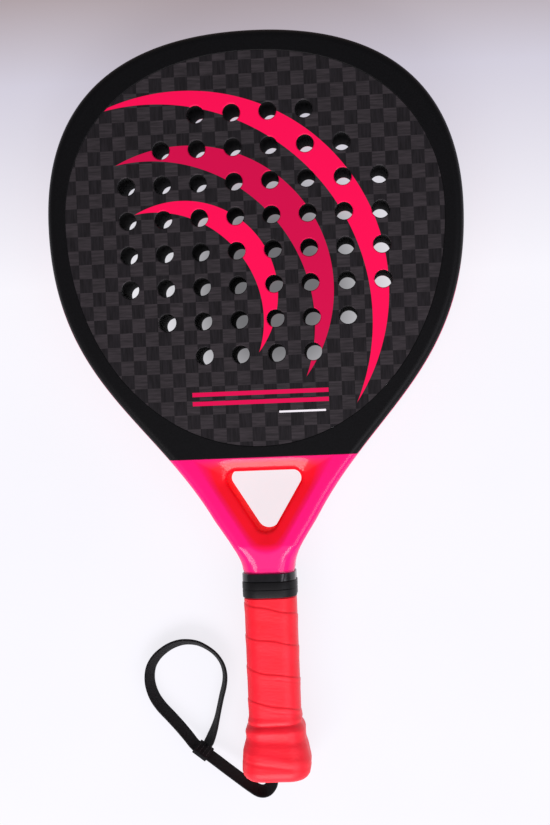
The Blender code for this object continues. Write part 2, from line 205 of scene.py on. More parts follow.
def drill(blank, profile):
    """Cut every hole with one bit, whose profile is (radius, height) from its lower end."""
    radius, height = profile[0]
    bpy.ops.mesh.primitive_circle_add(vertices=HOLE_SIDES, radius=radius * MM,
                                      fill_type="NGON", location=(0, 0, height * MM))
    bit = bpy.context.object
    bpy.ops.object.transform_apply(location=True)
    bpy.ops.object.mode_set(mode="EDIT")
    bpy.ops.mesh.select_all(action="SELECT")
    for wider, top in profile[1:]:
        rise = {"value": (0, 0, (top - height) * MM)}
        bpy.ops.mesh.extrude_region_move(TRANSFORM_OT_translate=rise)
        bpy.ops.transform.resize(value=(wider / radius, wider / radius, 1))
        radius, height = wider, top
    bpy.ops.mesh.select_all(action="SELECT")
    bpy.ops.mesh.normals_make_consistent(inside=False)
    bpy.ops.object.mode_set(mode="OBJECT")
    cutter = stamped(bit, [Matrix.Translation((x * MM, y * MM, 0)) for x, y in hole_places()])
    cut = blank.modifiers.new("holes", "BOOLEAN")
    cut.operation = "DIFFERENCE"
    cut.solver = "EXACT"
    cut.object = cutter
    only(blank)
    bpy.ops.object.modifier_apply(modifier="holes")
    bpy.data.objects.remove(cutter)


def eva_foam():
    """Closed-cell foam: sooty and without gloss, its cut pores about half a millimetre."""
    return patterned("eva_foam", "TexVoronoi", {"Scale": 1 / (0.5 * MM)}, "Distance",
                     ((0.0, "#030304"), (1.0, "#0c0c0d")), (0.3, 0.1),
                     {"Roughness": 0.9, "Specular IOR Level": 0.15})


core = face_blank(core_low, core_high)
drill(core, ((HOLE_RADIUS, -5), (HOLE_RADIUS, 45)))
finished(core, "drilled_foam_core", eva_foam())
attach(core, "racket")
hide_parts("foam_core")


# ---- Carbon moulding ---------------------------------------------------------------------
# The frame tube and the throat bridge leave the mould as one carbon piece, with rounded
# shoulders and a dished surround to the throat's opening. It is sanded, sprayed black on
# the head and pink on the throat, and lacquered.

HEAD_TOP = 227.5
HALF_WIDTH = 125.9
HALF_THICK = 19.0
SHOULDER = 5.5
NECK_SHOULDER = 10.5
NECK_Y = -98.2
NECK_HALF_THICK = 15.8
NECK_SLEEVE = 15.4
SLEEVE_TOP_Y = -100.4
SLEEVE_LOW_Y = -103.2
LEG_TOP_Y = -103.6
LEG_HALF = 11.4
LEG_INNER = 1.8
LEG_END_Y = -208.0
TAPER_Y = -84.0
OPENING_TOP_Y = -38.6
OPENING_CORNER = (17.37, -43.6, 5.0)
OPENING_TIP = (0.0, -68.0, 7.12)
OPENING_SLANT = radians(-31.3)
OPENING_MITRE = (pi / 2 + OPENING_SLANT) / 2
DISH_TOP_Y = -30.5
DISH_CORNER_X = 43.0
DISH_FOOT = (10.0, -84.0)
DISH_BOTTOM_Y = -88.0
DISH_DEPTH = 4.0
DISH_FILLET = 0.07
PANEL_ROUND = 0.5
LIP_ROUND = 2.2
# Places on the outer edge beside the split, the opening's corner and tip, and the neck.
BY_SPLIT = (92.6, 12.6)
BY_CORNER = (43, -50)
BELOW_CORNER = (38.6, -57)
BY_TIP = (23.5, -81)
BELOW_TIP = (17.6, -90)
BY_NECK = (15.9, NECK_Y)
SEAM_TOP = (0, -95)
WEB_ROWS = 60
# The paint's edge on the side of the head, from its lower end to its upper one.
PAINT_EDGE_Y = (60, 210)
PAINT_EDGE_Z = (15.4, 9.5)
# How far down the dish the wall of the opening begins.
WALL_SHARE = 0.93


def bezier(start, after, before, end, steps):
    corners = [Vector((*corner, 0)) for corner in (start, after, before, end)]
    return [(p.x, p.y) for p in interpolate_bezier(*corners, steps + 1)]


def arc(circle, start, end, steps):
    x, y, radius = circle
    turns = [start + (end - start) * i / steps for i in range(steps + 1)]
    return [(x + radius * cos(turn), y + radius * sin(turn)) for turn in turns]


def spaced(line, steps):
    """A line's points set out again at even distances."""
    total = [0.0]
    for (x0, y0), (x1, y1) in zip(line, line[1:]):
        total.append(total[-1] + hypot(x1 - x0, y1 - y0))
    made = []
    part = 0
    for i in range(steps + 1):
        wanted = total[-1] * i / steps
        while part < len(line) - 2 and total[part + 1] < wanted:
            part += 1
        share = (wanted - total[part]) / max(total[part + 1] - total[part], 1e-9)
        (x0, y0), (x1, y1) = line[part], line[part + 1]
        made.append((x0 + (x1 - x0) * share, y0 + (y1 - y0) * share))
    return made


def part_of(line, first, last):
    """The points of a line from the one nearest one place to the one nearest another."""
    ends = [min(range(len(line)), key=lambda i: hypot(line[i][0] - x, line[i][1] - y))
            for x, y in (first, last)]
    return line[ends[0]:ends[1] + 1]


def clearance(loop, x, y):
    """The distance from a place to a closed line, and whether the place is inside it."""
    nearest = 1e9
    inside = False
    for (x0, y0), (x1, y1) in zip(loop, loop[1:] + loop[:1]):
        dx, dy = x1 - x0, y1 - y0
        share = ((x - x0) * dx + (y - y0) * dy) / max(dx * dx + dy * dy, 1e-12)
        share = min(max(share, 0.0), 1.0)
        nearest = min(nearest, hypot(x - x0 - share * dx, y - y0 - share * dy))
        if (y0 > y) != (y1 > y) and x < x0 + (x1 - x0) * (y - y0) / (y1 - y0):
            inside = not inside
    return nearest, inside


def smoothstep(low, high, value):
    share = min(max((value - low) / (high - low), 0.0), 1.0)
    return share * share * (3 - 2 * share)


def rounded(radius, distance):
    """How far a rounded edge has fallen at a distance in from its outline."""
    if distance >= radius:
        return 0.0
    return radius - sqrt(max(radius ** 2 - (radius - distance) ** 2, 0.0))


head_rail = bezier((0, HEAD_TOP), (85.4, HEAD_TOP), (HALF_WIDTH, 186.2),
                   (HALF_WIDTH, SHOULDER_Y), 90)
head_inside = bezier(*FACE_OUTLINE[0], 90)
cheek_rail = bezier((HALF_WIDTH, SHOULDER_Y), (HALF_WIDTH, 68.1), (111.5, 38.3), BY_SPLIT, 60)
cheek_inside = bezier(*FACE_OUTLINE[1], 60)
throat_rail = (bezier(BY_SPLIT, (73.7, -13), (50.3, -34.6), (32.3, -66), 120)
               + bezier((32.3, -66), (26.4, -76.3), (16.3, -88), BY_NECK, 60)[1:])
neck_rail = [BY_NECK, (NECK_SLEEVE, SLEEVE_TOP_Y), (NECK_SLEEVE, SLEEVE_LOW_Y),
             (LEG_HALF, LEG_TOP_Y)]
corner_upper = arc(OPENING_CORNER, pi / 2, OPENING_MITRE, 8)
corner_lower = arc(OPENING_CORNER, OPENING_MITRE, OPENING_SLANT, 8)
tip_arc = arc(OPENING_TIP, OPENING_SLANT, -pi / 2, 16)
opening_half = [(0, OPENING_TOP_Y)] + corner_upper + corner_lower[1:] + tip_arc
opening_loop = opening_half + [(-x, y) for x, y in reversed(opening_half[1:-1])]
dish_half = bezier((0, DISH_TOP_Y), (20, DISH_TOP_Y), (30, DISH_TOP_Y),
                   (DISH_CORNER_X, DISH_TOP_Y), 8)
dish_half += bezier(DISH_FOOT, (8, -87), (4, DISH_BOTTOM_Y), (0, DISH_BOTTOM_Y), 8)
dish_loop = dish_half + [(-x, y) for x, y in reversed(dish_half[1:-1])]
lower_arc = bezier(*FACE_OUTLINE[2], 120)
web_line = bezier(SPLIT, (60, -8.4), (40, -31), corner_lower[0], 80)


def dish_place(x, y):
    """How far down the dish a place is, from 0 at its rim to 1, and how far it is from the
    opening."""
    if not DISH_BOTTOM_Y < y < DISH_TOP_Y:
        return 0.0, HALF_WIDTH
    to_rim, inside = clearance(dish_loop, x, y)
    to_opening = clearance(opening_loop, x, y)[0]
    if not inside:
        return 0.0, to_opening
    return to_rim / max(to_rim + to_opening, 1e-6), to_opening


def moulding_height(x, y, fall):
    """Height above the racket's middle plane, after an edge's fall and the dish."""
    tapered = min(max((TAPER_Y - y) / (TAPER_Y - NECK_Y), 0.0), 1.0)
    half = HALF_THICK - (HALF_THICK - NECK_HALF_THICK) * tapered
    half -= (NECK_HALF_THICK - NECK_SLEEVE) * smoothstep(-NECK_Y, -SLEEVE_TOP_Y, -y)
    half -= (NECK_SLEEVE - LEG_HALF) * smoothstep(-SLEEVE_LOW_Y, -LEG_TOP_Y, -y)
    share, to_opening = dish_place(x, y)
    soft = sqrt(share ** 2 + DISH_FILLET ** 2) - DISH_FILLET
    drop = DISH_DEPTH * soft / (sqrt(1 + DISH_FILLET ** 2) - DISH_FILLET)
    return half - fall - drop - rounded(LIP_ROUND, to_opening), share


SHOULDER_STEPS = [1 - cos(radians(a)) for a in range(0, 100, 10)]
LIP_STEPS = [1 - cos(radians(a)) for a in (90, 65, 45, 25, 10, 0)]
FLAT_COLUMNS = 18

# Stretches along the rail: its own line, the line inside it, how many rows they take, and
# the rounding of the inner edge at their two ends.
rows = []
for outside, inside, steps, edge in (
        (head_rail, head_inside, 80, (PANEL_ROUND, PANEL_ROUND)),
        (cheek_rail, cheek_inside, 40, (PANEL_ROUND, PANEL_ROUND)),
        (part_of(throat_rail, BY_SPLIT, BY_CORNER), web_line, WEB_ROWS,
         (PANEL_ROUND, LIP_ROUND)),
        (part_of(throat_rail, BY_CORNER, BELOW_CORNER), corner_lower, 7, (LIP_ROUND, LIP_ROUND)),
        (part_of(throat_rail, BELOW_CORNER, BY_TIP), [corner_lower[-1], tip_arc[0]], 26,
         (LIP_ROUND, LIP_ROUND)),
        (part_of(throat_rail, BY_TIP, BELOW_TIP), tip_arc, 12, (LIP_ROUND, LIP_ROUND)),
        (part_of(throat_rail, BELOW_TIP, BY_NECK), [tip_arc[-1], SEAM_TOP], 12, (0, 0)),
        (neck_rail, [SEAM_TOP, (0, SLEEVE_LOW_Y), (LEG_INNER, LEG_TOP_Y)], 14, (0, 0)),
        ([(LEG_HALF, LEG_TOP_Y), (LEG_HALF, LEG_END_Y)],
         [(LEG_INNER, LEG_TOP_Y), (LEG_INNER, LEG_END_Y)], 10, (0, 0))):
    for i, (outer, inner) in enumerate(zip(spaced(outside, steps), spaced(inside, steps))):
        if i > 0 or not rows:
            lip = edge[0] + (edge[1] - edge[0]) * (i / steps)
            rows.append((outer, inner, lip, inside is web_line and i < steps))


def built(shape, name):
    """The shape made in mesh code, as an object."""
    mesh = bpy.data.meshes.new(name)
    shape.to_mesh(mesh)
    shape.free()
    made = bpy.data.objects.new(name, mesh)
    bpy.context.collection.objects.link(made)
    return made


shell = bmesh.new()
dish_layer = shell.verts.layers.float.new("dish")


def moulding_point(x, y, fall):
    height, share = moulding_height(x, y, fall)
    made = shell.verts.new((x * MM, y * MM, height * MM))
    made[dish_layer] = share
    return made


def middle_point(x, y):
    made = shell.verts.new((x * MM, y * MM, 0))
    made[dish_layer] = dish_place(x, y)[0]
    return made


def skin_over(grid):
    """Faces between each two neighbouring rows of vertices."""
    for low_row, high_row in zip(grid, grid[1:]):
        for a, b, c, d in zip(low_row, low_row[1:], high_row[1:], high_row):
            corners = []
            for corner in (a, b, c, d):
                if all((corner.co - other.co).length > 1e-7 for other in corners):
                    corners.append(corner)
            if len(corners) > 2:
                shell.faces.new(corners)


strip = []
for (ox, oy), (ix, iy), lip, on_web in rows:
    width = hypot(ix - ox, iy - oy)
    shoulder = SHOULDER + (NECK_SHOULDER - SHOULDER) * smoothstep(-TAPER_Y, -SLEEVE_TOP_Y, -oy)
    shoulder = min(shoulder, width - 1)
    flat = width - shoulder - lip
    across = [(shoulder * step, rounded(shoulder, shoulder * step)) for step in SHOULDER_STEPS]
    across += [(shoulder + flat * i / FLAT_COLUMNS, 0.0) for i in range(1, FLAT_COLUMNS)]
    by_panel = lip == PANEL_ROUND
    across += [(width - lip * step, rounded(lip, lip * step) if by_panel else 0.0)
               for step in LIP_STEPS]
    line = [middle_point(ox, oy)]
    for distance, fall in across:
        share = distance / width
        line.append(moulding_point(ox + (ix - ox) * share, oy + (iy - oy) * share, fall))
    line.append(line[-1] if on_web else middle_point(ix, iy))
    strip.append(line)
skin_over(strip)

# The bridge between the face's lower arc, the webs and the opening's upper edge.
ABOVE_CORNER = (27, -22)
panel_edge = (spaced(part_of(lower_arc, SPLIT, ABOVE_CORNER), WEB_ROWS)
              + spaced(part_of(lower_arc, ABOVE_CORNER, FACE_OUTLINE[2][3]), 22)[1:])
bridge_edge = (spaced(web_line, WEB_ROWS) + list(reversed(corner_upper))[1:]
               + spaced([corner_upper[0], (0, OPENING_TOP_Y)], 14)[1:])
patch = []
for i, ((tx, ty), (bx, by)) in enumerate(zip(panel_edge, bridge_edge)):
    length = hypot(bx - tx, by - ty)
    top_round, low_round = min(PANEL_ROUND, length / 4), min(LIP_ROUND, length / 4)
    flat = length - top_round - low_round
    across = [(top_round * (1 - step), rounded(PANEL_ROUND, top_round * (1 - step)))
              for step in LIP_STEPS]
    across += [(top_round + flat * k / FLAT_COLUMNS, 0.0) for k in range(1, FLAT_COLUMNS)]
    across += [(length - low_round * step, 0.0) for step in LIP_STEPS]
    line = [middle_point(tx, ty)]
    for distance, fall in across:
        share = distance / max(length, 1e-6)
        line.append(moulding_point(tx + (bx - tx) * share, ty + (by - ty) * share, fall))
    line.append(middle_point(bx, by) if i >= WEB_ROWS else line[-1])
    patch.append(line)
skin_over(patch)
bmesh.ops.remove_doubles(shell, verts=shell.verts, dist=0.01 * MM)
moulding = built(shell, "moulding")
only(moulding)
both = moulding.modifiers.new("halves", "MIRROR")
both.use_axis = (True, False, True)
both.use_mirror_merge = True
both.merge_threshold = 0.02 * MM
bpy.ops.object.modifier_apply(modifier="halves")
bpy.ops.object.mode_set(mode="EDIT")
bpy.ops.mesh.select_all(action="SELECT")
bpy.ops.mesh.remove_doubles(threshold=0.01 * MM)
bpy.ops.mesh.normals_make_consistent(inside=False)
bpy.ops.object.mode_set(mode="OBJECT")
moulding.location.z = HALF_THICK * MM


def frame_lacquer():
    """Sprayed lacquer: black with a fine sanded grain on the head, glossy pink below, painted
    redder down the dish as painted reflected light.
    """
    made = new_material("frame_lacquer")
    place = add(made, "TexCoord")
    axes = add(made, "SeparateXYZ", links={"Vector": (place, "Object")})
    grit = add(made, "TexNoise",
               {"Scale": 1 / (0.9 * MM), "Detail": 3.0, "Roughness": 0.7},
               {"Vector": (place, "Object")})
    black = add(made, "ValToRGB", links={"Fac": (grit, "Fac")},
                stops=((0.3, "#030304"), (0.7, "#0c0c0e")))
    dish = add(made, "Attribute", attribute_name="dish")
    # Down the dish the pink is painted redder towards the opening: painted reflected light, where
    # the pink walls of the opening light each other.
    pink = add(made, "ValToRGB", links={"Fac": (dish, "Fac")},
               stops=((0.0, "#fc0074"), (0.14, "#fd005a"), (0.4, "#ff0024"), (1.0, "#ff001c")))
    below = add(made, "MapRange",
                {"From Min": (DISH_TOP_Y + 0.25) * MM, "From Max": (DISH_TOP_Y - 0.25) * MM},
                {"Value": (axes, "Y")})
    middle = add(made, "Math", {1: HALF_THICK * MM}, {0: (axes, "Z")},
                 operation="SUBTRACT")
    off_middle = add(made, "Math", links={0: (middle, "Value")},
                     operation="ABSOLUTE")
    edge = add(made, "MapRange",
               {"From Min": PAINT_EDGE_Y[0] * MM, "From Max": PAINT_EDGE_Y[1] * MM,
                "To Min": PAINT_EDGE_Z[0] * MM, "To Max": PAINT_EDGE_Z[1] * MM},
               {"Value": (axes, "Y")})
    within = add(made, "Math", links={0: (edge, "Result"), 1: (off_middle, "Value")},
                 operation="SUBTRACT")
    band = add(made, "MapRange", {"From Min": -0.2 * MM, "From Max": 0.2 * MM},
               {"Value": (within, "Value")})
    painted = add(made, "Math",
                  links={0: (below, "Result"), 1: (band, "Result")}, operation="MAXIMUM")
    colour = add(made, "Mix", links={"Factor": (painted, "Value"), 6: (black, "Color"),
                                     7: (pink, "Color")}, data_type="RGBA")
    # The paint's overspray leaves the walls of the opening dull.
    rough = add(made, "MapRange", {"From Min": WALL_SHARE, "To Min": 0.45, "To Max": 0.95},
                {"Value": (dish, "Fac")})
    bright = add(made, "MapRange", {"From Min": WALL_SHARE, "To Min": 0.45, "To Max": 0.0},
                 {"Value": (dish, "Fac")})
    glossy = add(made, "Math",
                 links={0: (bright, "Result"), 1: (painted, "Value")}, operation="MULTIPLY")
    strength = add(made, "MapRange", {"To Min": 0.35, "To Max": 0.03},
                   {"Value": (painted, "Value")})
    bump = add(made, "Bump", {"Distance": 0.15 * MM},
               {"Height": (grit, "Fac"), "Strength": (strength, "Result")})
    shade(made, {"Specular IOR Level": 0.15, "Coat Roughness": 0.12},
          {"Base Color": (colour, 2), "Roughness": (rough, "Result"),
           "Coat Weight": (glossy, "Value"), "Normal": (bump, "Normal")})
    return made


finished(moulding, "carbon_moulding", frame_lacquer(), 40)
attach(moulding, "racket")
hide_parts("frame_tube", "throat_bridge")


# ---- Carbon faces ------------------------------------------------------------------------
# A carbon face sheet on each side, laid up as a chequer of tow squares whose fibres run
# across in one and along in the next, with a painted pattern of arcs under the lacquer.
# The holes are drilled through with the core and their rims are slightly relieved.

CELL_X = 7.8
CELL_Y = 8.5
LIGHT_CELL = (-1.65, 0.6)
RIM_FLARE = 0.5
RINGS_AT = (-52.0, 62.0)
RING_MIDDLE = radians(40)
RING_SPREAD = 1.3
RINGS = ((60, 7.5, "#ff0052"), (92, 10, "#d40048"), (126, 8.5, "#ff0052"))
BARS = ((0, 8.5, 41, 1.3, "#e0004e"), (0, 3.0, 41, 1.3, "#e0004e"),
        (25, -3.5, 14, 0.6, "#f4f2f4"))


def carbon_face():
    """Carbon tow in clear resin: charcoal squares whose thread runs turn the light, painted as
    lighter and darker squares: painted sheen.
    """
    made = new_material("carbon_face")
    place = add(made, "TexCoord")
    cells = add(made, "Mapping",
                {"Location": (0.5 - LIGHT_CELL[0] / CELL_X, 0.5 - LIGHT_CELL[1] / CELL_Y, 0.5),
                 "Scale": (1 / (CELL_X * MM), 1 / (CELL_Y * MM), 0)},
                {"Vector": (place, "Object")})
    check = add(made, "TexChecker",
                {"Scale": 1.0, "Color1": (1, 1, 1, 1), "Color2": (0, 0, 0, 1)},
                {"Vector": (cells, "Vector")})
    lines = []
    for stretch in ((0.1, 1, 1), (1, 0.1, 1)):
        run = add(made, "Mapping", {"Scale": stretch}, {"Vector": (place, "Object")})
        lines.append(add(made, "TexNoise",
                         {"Scale": 1 / (1.1 * MM), "Detail": 2.0, "Roughness": 0.6},
                         {"Vector": (run, "Vector")}))
    # The squares whose fibres run across are painted lighter than those along: painted sheen, for
    # how each fibre direction catches the light.
    across = add(made, "ValToRGB", links={"Fac": (lines[0], "Fac")},
                 stops=((0.3, "#252224"), (0.7, "#393437")))
    along = add(made, "ValToRGB", links={"Fac": (lines[1], "Fac")},
                stops=((0.3, "#121012"), (0.7, "#211e21")))
    layer = add(made, "Mix", links={"Factor": (check, "Fac"), 6: (along, "Color"),
                                    7: (across, "Color")}, data_type="RGBA")
    centre = add(made, "Mapping",
                 {"Location": (-RINGS_AT[0] * MM, -RINGS_AT[1] * MM, 0), "Scale": (1, 1, 0)},
                 {"Vector": (place, "Object")})
    reach = add(made, "VectorMath", links={0: (centre, "Vector")},
                operation="LENGTH")
    axes = add(made, "SeparateXYZ", links={"Vector": (centre, "Vector")})
    turn = add(made, "Math", links={0: (axes, "Y"), 1: (axes, "X")},
               operation="ARCTAN2")
    # Each arc is widest towards the upper right and narrows to a point both ways.
    away = add(made, "Math", {1: RING_MIDDLE}, {0: (turn, "Value")},
               operation="SUBTRACT")
    spread = add(made, "Math", {1: RING_SPREAD}, {0: (away, "Value")},
                 operation="MULTIPLY")
    taper = add(made, "Math", links={0: (spread, "Value")}, operation="COSINE")
    for radius, half_width, colour in RINGS:
        gap = add(made, "Math", {1: radius * MM}, {0: (reach, "Value")},
                  operation="SUBTRACT")
        size = add(made, "Math", links={0: (gap, "Value")}, operation="ABSOLUTE")
        room = add(made, "Math", {1: half_width * MM}, {0: (taper, "Value")},
                   operation="MULTIPLY")
        inside = add(made, "Math",
                     links={0: (room, "Value"), 1: (size, "Value")}, operation="SUBTRACT")
        mask = add(made, "MapRange", {"From Min": -0.1 * MM, "From Max": 0.1 * MM},
                   {"Value": (inside, "Value")})
        layer = add(made, "Mix", {7: linear(colour)},
                    {"Factor": (mask, "Result"), 6: (layer, 2)}, data_type="RGBA")
    for x, y, half_length, half_height, colour in BARS:
        centred = add(made, "Mapping",
                      {"Location": (-x / half_length, -y / half_height, 0),
                       "Scale": (1 / (half_length * MM), 1 / (half_height * MM), 0)},
                      {"Vector": (place, "Object")})
        sized = add(made, "VectorMath", links={0: (centred, "Vector")},
                    operation="ABSOLUTE")
        sides = add(made, "SeparateXYZ", links={"Vector": (sized, "Vector")})
        furthest = add(made, "Math", links={0: (sides, "X"), 1: (sides, "Y")},
                       operation="MAXIMUM")
        mask = add(made, "Math", {1: 1.0}, {0: (furthest, "Value")},
                   operation="LESS_THAN")
        layer = add(made, "Mix", {7: linear(colour)},
                    {"Factor": (mask, "Value"), 6: (layer, 2)}, data_type="RGBA")
    bump = add(made, "Bump", {"Strength": 0.08, "Distance": 0.1 * MM},
               {"Height": (lines[0], "Fac")})
    shade(made, {"Roughness": 0.4, "Specular IOR Level": 0.22, "Coat Weight": 0.05,
                 "Coat Roughness": 0.15},
          {"Base Color": (layer, 2), "Normal": (bump, "Normal")})
    return made


carbon = carbon_face()
for name in ("front_face_skin", "rear_face_skin"):
    low, high = [corner.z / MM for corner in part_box(name)]
    skin = face_blank(low, high)
    wide = HOLE_RADIUS + RIM_FLARE
    if name == "front_face_skin":
        drill(skin, ((HOLE_RADIUS, low - 2), (HOLE_RADIUS, high - RIM_FLARE), (wide, high),
                     (wide, high + 2)))
    else:
        drill(skin, ((wide, low - 2), (wide, low), (HOLE_RADIUS, low + RIM_FLARE),
                     (HOLE_RADIUS, high + 2)))
    finished(skin, name.replace("face_skin", "carbon_face"), carbon)
    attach(skin, "racket")
    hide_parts(name)


# ---- Handle filler and sleeve ------------------------------------------------------------
# A foam strip fills the slot between the frame's two legs, and a glass laminate sleeve is
# wrapped and cured round them. Both are covered, apart from what shows at the butt.

def rigid_foam():
    """Rigid polyurethane foam: pale, dry, with cells of about a millimetre."""
    return patterned("rigid_foam", "TexVoronoi", {"Scale": 1 / (1.0 * MM)}, "Distance",
                     ((0.0, "#b79f6c"), (1.0, "#dccb9c")), (0.4, 0.3), {"Roughness": 0.9})


def glass_laminate():
    """Glass cloth in resin: dull grey-green, with a plain weave of 1.2 mm threads."""
    return patterned("glass_laminate", "TexChecker", {"Scale": 1 / (1.2 * MM)}, "Fac",
                     ((0.0, "#3a413c"), (1.0, "#2c312e")), (0.2, 0.1), {"Roughness": 0.45})


def dress(node, material):
    """Give a CAD node its finish."""
    nodes[node].data.materials.clear()
    nodes[node].data.materials.append(material)


dress("handle_filler", rigid_foam())
dress("handle_sleeve", glass_laminate())


# ---- Strap anchor ------------------------------------------------------------------------
# A turned steel pin pressed across the hollow end of the handle. The strap's first end is
# sewn round it, and the butt cap hides it.

def turned_steel():
    """Bright steel with fine turning lines round the pin."""
    made = new_material("turned_steel")
    place = add(made, "TexCoord")
    turned = add(made, "TexWave", {"Scale": 1 / (2 * MM), "Distortion": 0.5},
                 {"Vector": (place, "Object")}, wave_type="BANDS", bands_direction="X")
    rough = add(made, "MapRange", {"To Min": 0.22, "To Max": 0.36},
                {"Value": (turned, "Fac")})
    shade(made, {"Base Color": linear("#b9bcc0"), "Metallic": 1.0},
          {"Roughness": (rough, "Result")})
    return made


dress("strap_anchor", turned_steel())


# ---- Base grip and butt cap --------------------------------------------------------------
# The base grip is a foamed tape wound over the sleeve. The butt cap under it is a moulded
# plastic plug that flares the end of the handle and has a slot for the strap.

def foam_tape():
    """Foamed polyurethane tape: black, dull, with small even dimples."""
    return patterned("foam_tape", "TexVoronoi", {"Scale": 1 / (0.8 * MM)}, "Distance",
                     ((0.0, "#0c0c0d"), (1.0, "#1d1d1f")), (0.4, 0.2), {"Roughness": 0.8})


def moulded_plastic():
    """Polypropylene from a spark-eroded mould: black with a fine matte grain."""
    return patterned("moulded_plastic", "TexNoise", {"Scale": 1 / (0.6 * MM), "Detail": 3.0},
                     "Fac", ((0.3, "#0e0e10"), (0.7, "#19191c")), (0.25, 0.1),
                     {"Roughness": 0.5})


dress("base_grip", foam_tape())
dress("butt_cap", moulded_plastic())


# ---- Wrist strap -------------------------------------------------------------------------
# Flat black polyester webbing, 9.5 mm wide, sewn round the pin in the handle. It leaves
# through the butt's slot, runs out, turns back in a loop, and its end is sewn as a keeper
# round its own standing part, so that it draws tight on the wrist.

STRAP_WIDTH = 9.5
STRAP_THICK = 1.4
STRAP_RIB = 0.9
STRAP_WARP = 0.8
ROUTE_STEPS = 8
STRAP_ROUTE = (
    (-3.4, -215.2, 19, -30), (-3.4, -221, 19, -32), (-3.6, -227, 18.7, -35),
    (-4.2, -232, 17.6, -42), (-7.2, -236.2, 15.8, -50), (-11.8, -237.2, 13.9, -56),
    (-17.5, -234.6, 12, -60), (-24.8, -229.8, 10.2, -62), (-32.2, -224.3, 9.4, -62),
    (-39.6, -218.7, 8.5, -62), (-47, -213.2, 7.7, -62), (-51.9, -209.6, 7.1, -62),
    (-56.3, -204.3, 6.1, -61), (-61.4, -198.2, 5.3, -60), (-67, -192, 4.7, -60),
    (-73, -185.2, 4.7, -60), (-77.3, -178, 4.7, -61), (-79.4, -169.5, 4.7, -62),
    (-78.4, -161, 4.8, -62), (-74.2, -154.2, 4.9, -62), (-67.6, -149, 5, -63),
    (-61.2, -146.3, 5, -64), (-55.3, -145.5, 5, -66),
)
RETURN_ROUTE = (
    (-55.3, -145.5, 5, -66), (-48.4, -146.5, 5, -67), (-42.2, -149.6, 5, -69),
    (-37, -153.9, 5, -70), (-33.3, -159.6, 5, -71), (-31.8, -166, 5, -72),
    (-32.3, -172.6, 5, -73), (-34.3, -180, 5, -73), (-36.2, -187.6, 5, -73),
    (-37.9, -194.4, 4.9, -71), (-39.9, -200.6, 4.8, -64), (-42.6, -207, 4.8, -56),
    (-44.4, -210.2, 5.4, -58),
)
SECTION = ((-1, -0.6), (-1, 0.6), (-0.97, 0.9), (-0.9, 1), (-0.6, 1), (-0.3, 1), (0, 1),
           (0.3, 1), (0.6, 1), (0.9, 1), (0.97, 0.9), (1, 0.6), (1, -0.6), (0.97, -0.9),
           (0.9, -1), (0.6, -1), (0.3, -1), (0, -1), (-0.3, -1), (-0.6, -1), (-0.9, -1),
           (-0.97, -0.9))


def through(route, steps):
    """Points and leans along a smooth curve through a route."""
    stops = [Vector(stop) for stop in route]
    stops = [2 * stops[0] - stops[1]] + stops + [2 * stops[-1] - stops[-2]]
    found = []
    for a, b, c, d in zip(stops, stops[1:], stops[2:], stops[3:]):
        for step in range(steps):
            t = step / steps
            found.append(0.5 * (2 * b + (c - a) * t + (2 * a - 5 * b + 4 * c - d) * t ** 2
                                + (3 * b - a - 3 * c + d) * t ** 3))
    return found + [stops[-2]]


def webbing_axes(heading, lean):
    """The directions across the webbing's width and through its thickness."""
    sideways = heading.cross(Vector((0, 0, 1))).normalized()
    upward = sideways.cross(heading).normalized()
    across = sideways * cos(radians(lean)) + upward * sin(radians(lean))
    return across, heading.cross(across)


def webbing(name, stations, section, width, thick, material):
    """Webbing swept along stations of (place, heading, lean), with U across and V along."""
    swept = bmesh.new()
    uv = swept.loops.layers.uv.new("webbing")
    rings, distance, last = [], 0.0, stations[0][0]
    for place, heading, lean in stations:
        across, normal = webbing_axes(heading, lean)
        distance += (place - last).length
        last = place
        rings.append((distance, [
            swept.verts.new((place + across * u * width / 2 + normal * v * thick / 2) * MM)
            for u, v in section]))
    around = len(section)
    for (low, ring), (high, following) in zip(rings, rings[1:]):
        for i in range(around):
            j = (i + 1) % around
            face = swept.faces.new((ring[i], ring[j], following[j], following[i]))
            places = ((section[i][0], low), (section[j][0], low), (section[j][0], high),
                      (section[i][0], high))
            for loop, (u, v) in zip(face.loops, places):
                loop[uv].uv = (u * width / 2, v)
    for ring in (rings[0][1], rings[-1][1]):
        swept.faces.new(ring)
    bmesh.ops.recalc_face_normals(swept, faces=swept.faces)
    return finished(built(swept, name), name, material, 40)


def along(route, steps):
    """Stations down a route, for webbing()."""
    stops = through(route, steps)
    places = [stop.xyz for stop in stops]
    stations = []
    for i, stop in enumerate(stops):
        ahead, behind = places[min(i + 1, len(places) - 1)], places[max(i - 1, 0)]
        stations.append((stop.xyz, (ahead - behind).normalized(), stop.w))
    return stations


